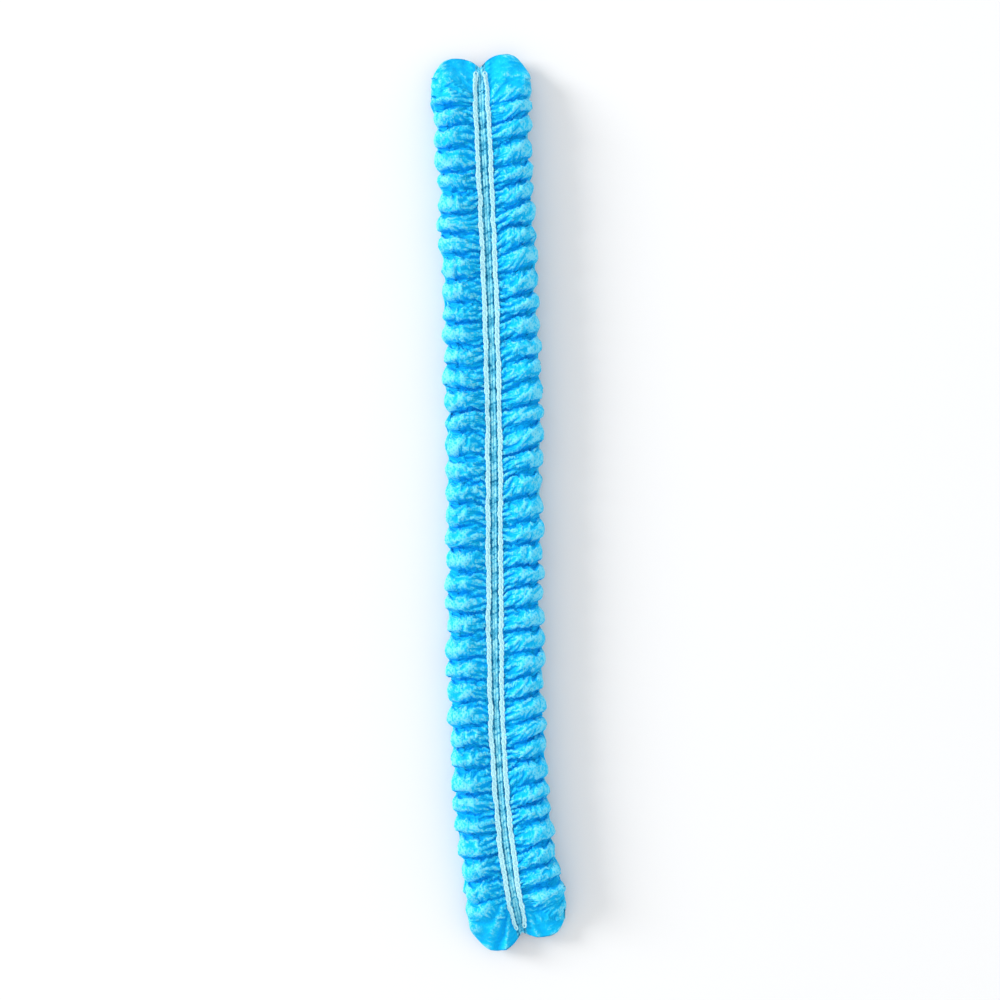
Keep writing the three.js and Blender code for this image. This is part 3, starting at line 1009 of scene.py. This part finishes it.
class Finish:
    """A material with one principled shader, and short ways to add the nodes that feed it."""

    def __init__(self, name, constants):
        self.material = bpy.data.materials.new(name)
        self.material.use_nodes = True
        self.tree = self.material.node_tree
        self.shader = self.tree.nodes["Principled BSDF"]
        for word, value in constants.items():
            self.set(word, value)

    def node(self, kind, sockets=None, **settings):
        return new_node(self.tree, kind, sockets, **settings)

    def set(self, word, value):
        feed(self.tree, self.shader.inputs[word], value)

    def sum(self, *terms):
        """Adds up values, each of them multiplied by a number."""
        total = 0.0
        for value, times in terms:
            step = self.node("ShaderNodeMath", {0: value, 1: times, 2: total}, operation="MULTIPLY_ADD")
            total = step.outputs["Value"]
        return total

    def weighed(self, weights, **parts):
        """Adds up named parts, each multiplied by its weight."""
        return self.sum(*[(parts[word], times) for word, times in weights.items()])

    def math(self, operation, value):
        return self.node("ShaderNodeMath", {0: value}, operation=operation).outputs["Value"]

    def range(self, value, low, high, low_to=0.0, high_to=1.0):
        sockets = {"Value": value, "From Min": low, "From Max": high, "To Min": low_to, "To Max": high_to}
        return self.node("ShaderNodeMapRange", sockets, interpolation_type="SMOOTHSTEP").outputs["Result"]

    def placed(self, vector, turn, stretch):
        sockets = {"Vector": vector, "Rotation": (0, 0, turn), "Scale": stretch}
        return self.node("ShaderNodeMapping", sockets).outputs["Vector"]

    def noise(self, word, vector):
        """A row of the NOISES table."""
        turn, stretch, *values = NOISES[word]
        sockets = {"Vector": self.placed(vector, turn, stretch), **dict(zip(NOISE_SOCKETS, values))}
        return self.node("ShaderNodeTexNoise", sockets, noise_dimensions="3D").outputs["Fac"]

    def ramp(self, value, stops):
        """Blends colours, (r, g, b) each at its place from 0 to 1."""
        made = self.node("ShaderNodeValToRGB", {"Fac": value})
        points = made.color_ramp.elements
        for extra in stops[2:]:
            points.new(0.5)
        for point, (place, colour) in zip(points, stops):
            point.position = place
            point.color = (*colour, 1)
        return made.outputs["Color"]

    def bump(self, height, distance):
        sockets = {"Height": height, "Distance": distance, "Strength": 1.0}
        self.set("Normal", self.node("ShaderNodeBump", sockets).outputs["Normal"])

    def attribute(self, name):
        return self.node("ShaderNodeAttribute", attribute_name=name).outputs["Fac"]


def needle_holes(finish, cloth):
    """Dark dots beside a hem's seam, one at each stitch: 1 in a hole and 0 round it."""
    parts = finish.node("ShaderNodeSeparateXYZ", {"Vector": cloth})
    turns = finish.sum((parts.outputs["Y"], 2 * math.pi / STITCH_LENGTH))
    at_stitch = finish.math("COSINE", turns)
    across = finish.sum((parts.outputs["X"], 1.0), (1.0, -HOLE_PLACE))
    apart = finish.math("ABSOLUTE", across)
    return finish.range(finish.weighed(HOLE_SHAPE, at_stitch=at_stitch, apart=apart), *HOLE_EDGE)


def nonwoven(name, stops, sewn=False):
    """Spunbond cloth: matted fibres, cloudy where they lie uneven, pressed together at bond points.

    sewn: with needle holes and dark spots, as on the hems."""
    finish = Finish(name, {"Sheen Weight": 0.03, "Sheen Roughness": 0.4, "Specular IOR Level": 0.1})
    cloth = finish.node("ShaderNodeUVMap", uv_map="cloth").outputs["UV"]

    lattice = finish.placed(cloth, BOND_TURN, BOND_STRETCH)
    sockets = {"Vector": lattice, "Scale": 1 / BOND_PITCH, "Randomness": BOND_RANDOM}
    cells = finish.node("ShaderNodeTexVoronoi", sockets, voronoi_dimensions="2D")
    bonds = finish.range(cells.outputs["Distance"], *BOND_EDGE, low_to=1.0, high_to=0.0)
    clouds = finish.noise("clouds", cloth)
    fibres = finish.weighed(FIBRES, **{word: finish.noise(word, cloth) for word in FIBRES})
    # The tone paints shade into valleys and highlights onto crests and ridges, on top of the cloth's own
    # clouds, fibres and bond points
    tone = finish.weighed(
        CLOTH_TONE,
        crest=finish.attribute("crest"),
        ridge=finish.attribute("ridge"),
        clouds=clouds,
        # uneven tone, and painted shade and highlights of fine crumples
        mottle=finish.noise("mottle", cloth),
        fibres=fibres,
        bonds=bonds,
        even=1.0,
    )
    if sewn:
        holes = needle_holes(finish, cloth)
        spots = finish.range(finish.noise("spots", cloth), *SPOT_EDGE)
        tone = finish.weighed(HEM_TONE, cloth=tone, holes=holes, spots=spots, even=1.0)
    roughness = finish.weighed(CLOTH_ROUGHNESS, fibres=fibres, bonds=bonds, even=1.0)
    relief = finish.weighed(CLOTH_RELIEF, fibres=fibres, bonds=bonds, clouds=clouds)
    finish.set("Base Color", finish.ramp(tone, stops))
    finish.set("Roughness", roughness)
    finish.bump(relief, FIBRE_RELIEF * MM)
    return finish.material


def elastic():
    """A rubber core wound closely with thread."""
    finish = Finish("wound_elastic", {"Roughness": 0.55, "Sheen Weight": 0.2})
    wrap = finish.node("ShaderNodeUVMap", uv_map="wrap").outputs["UV"]
    parts = finish.node("ShaderNodeSeparateXYZ", {"Vector": wrap})
    turns = finish.sum((parts.outputs["Y"], 2 * math.pi / WRAP_PITCH), (parts.outputs["X"], 2 * math.pi))
    winding = finish.math("SINE", turns)
    uneven = finish.noise("uneven", wrap)
    # The winding that makes the bumps also paints shade between the turns into the colour
    tone = finish.weighed(ELASTIC_TONE, winding=winding, uneven=uneven, even=1.0)
    finish.set("Base Color", finish.ramp(tone, ELASTIC_STOPS))
    finish.bump(winding, THREAD_RELIEF * MM)
    return finish.material


def thread():
    """White sewing thread, its plies twisted."""
    finish = Finish("white_thread", {"Roughness": 0.5, "Sheen Weight": 0.3})
    plies = finish.math("SINE", finish.sum((finish.attribute("along"), 2 * math.pi * PLY_TURNS)))
    place = finish.node("ShaderNodeTexCoord").outputs["Object"]
    fuzz = finish.noise("fuzz", place)
    # The plies paint shade between them into the colour, besides the bumps
    tone = finish.weighed(THREAD_TONE, plies=plies, fuzz=fuzz, even=1.0)
    finish.set("Base Color", finish.ramp(tone, THREAD_STOPS))
    finish.bump(finish.weighed(THREAD_BUMPS, plies=plies, fuzz=fuzz), THREAD_RELIEF * MM)
    return finish.material


cloth = nonwoven("blue_nonwoven", CLOTH_STOPS)
hem_cloth = nonwoven("blue_nonwoven_hem", HEM_STOPS, sewn=True)
cloth_pieces(cloth, hem_cloth)
elastics(elastic(), thread())

# ----------------------------------------
# The stage

floor_mesh = bpy.data.meshes.new("floor")
corners = [(-1, -1), (1, -1), (1, 1), (-1, 1)]
floor_mesh.from_pydata([(x * FLOOR_HALF, y * FLOOR_HALF, 0) for x, y in corners], [], [(0, 1, 2, 3)])
floor = new_object("floor", floor_mesh)
floor_finish = Finish("floor", {"Base Color": (*FLOOR_COLOUR, 1)})
floor_mesh.materials.append(floor_finish.material)

for name, place, size, power in LIGHTS:
    light = bpy.data.lights.new(name, "AREA")
    light.shape = "DISK"
    light.size = size
    light.energy = power
    lamp = new_object(name, light)
    lamp.location = place
    lamp.rotation_mode = "QUATERNION"
    lamp.rotation_quaternion = (-Vector(place)).to_track_quat("-Z", "Y")

world = bpy.data.worlds.new("studio")
world.use_nodes = True
sky = world.node_tree.nodes["Background"]
sky.inputs["Color"].default_value = (1, 1, 1, 1)
sky.inputs["Strength"].default_value = SKY_STRENGTH
bpy.context.scene.world = world
bpy.context.scene.view_settings.view_transform = "Standard"

camera_data = bpy.data.cameras.new("camera")
camera_data.lens = CAMERA_LENS
camera = new_object("camera", camera_data)
half_view = math.atan(camera_data.sensor_width / 2 / camera_data.lens)
camera.location = (0, 0, TOP * MM + VIEW_MARGIN * TIP * MM / math.tan(half_view))
bpy.context.scene.camera = camera
